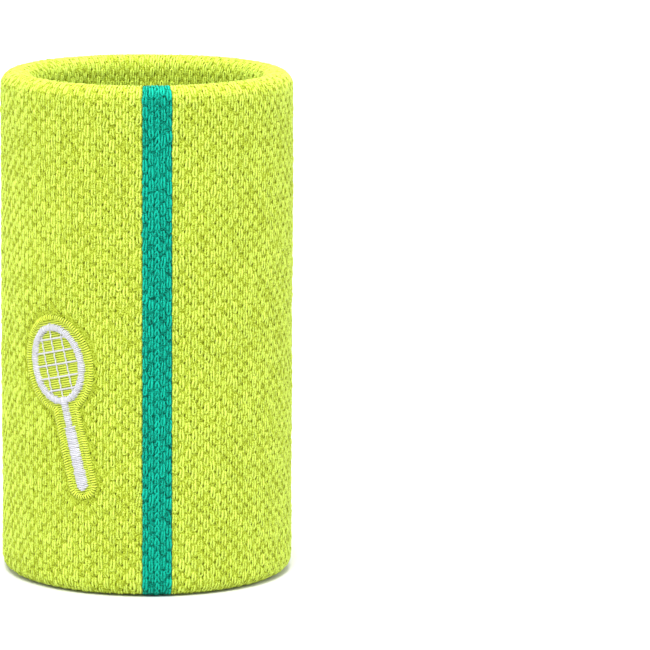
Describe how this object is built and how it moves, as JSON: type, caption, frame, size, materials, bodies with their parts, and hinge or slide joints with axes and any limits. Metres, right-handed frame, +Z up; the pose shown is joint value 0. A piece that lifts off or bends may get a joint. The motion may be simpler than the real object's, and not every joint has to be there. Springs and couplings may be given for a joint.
{
  "type": "sweat wristband",
  "caption": "Long knitted sweat wristband: a soft folded double tube with rounded ends, a contrasting lengthwise stripe and an embroidered racket mark.",
  "frame": {"origin": "centre of the lower folded rim, on the plane that the band stands on", "axes": "+Z up along the tube's axis; -Y is the front, through the middle of the stripe; +X is to the right seen from the front"},
  "size_m": [0.069, 0.069, 0.12],
  "materials": {
    "lime_knit": "textured weft knit, matt with a soft sheen at grazing angles",
    "teal_knit": "textured weft knit, matt with a soft sheen at grazing angles",
    "lime_pile": "loop pile, matt",
    "elastic_thread": "covered elastic thread, satin",
    "lime_thread": "twisted sewing thread, satin",
    "lime_embroidery": "satin stitch, glossy along the threads",
    "white_embroidery": "satin stitch, glossy along the threads",
    "bobbin_thread": "twisted sewing thread, satin",
    "backing": "nonwoven sheet, matt"
  },
  "bodies": {
    "root": {"knit_tube": "lime_knit", "stripe": "teal_knit", "pile_tube": "lime_pile", "elastic_outer": "elastic_thread", "elastic_lining_upper": "elastic_thread", "elastic_lining_lower": "elastic_thread", "overlock_needle_thread": "lime_thread", "overlock_upper_looper": "lime_thread", "overlock_lower_looper": "lime_thread", "closing_tack": "lime_thread", "mark_border": "lime_embroidery", "mark_ground": "lime_embroidery", "mark_frame": "white_embroidery", "mark_handle": "white_embroidery", "mark_strings": "white_embroidery", "mark_bobbin_thread": "bobbin_thread", "mark_backing": "backing"}
  },
  "joints": []
}
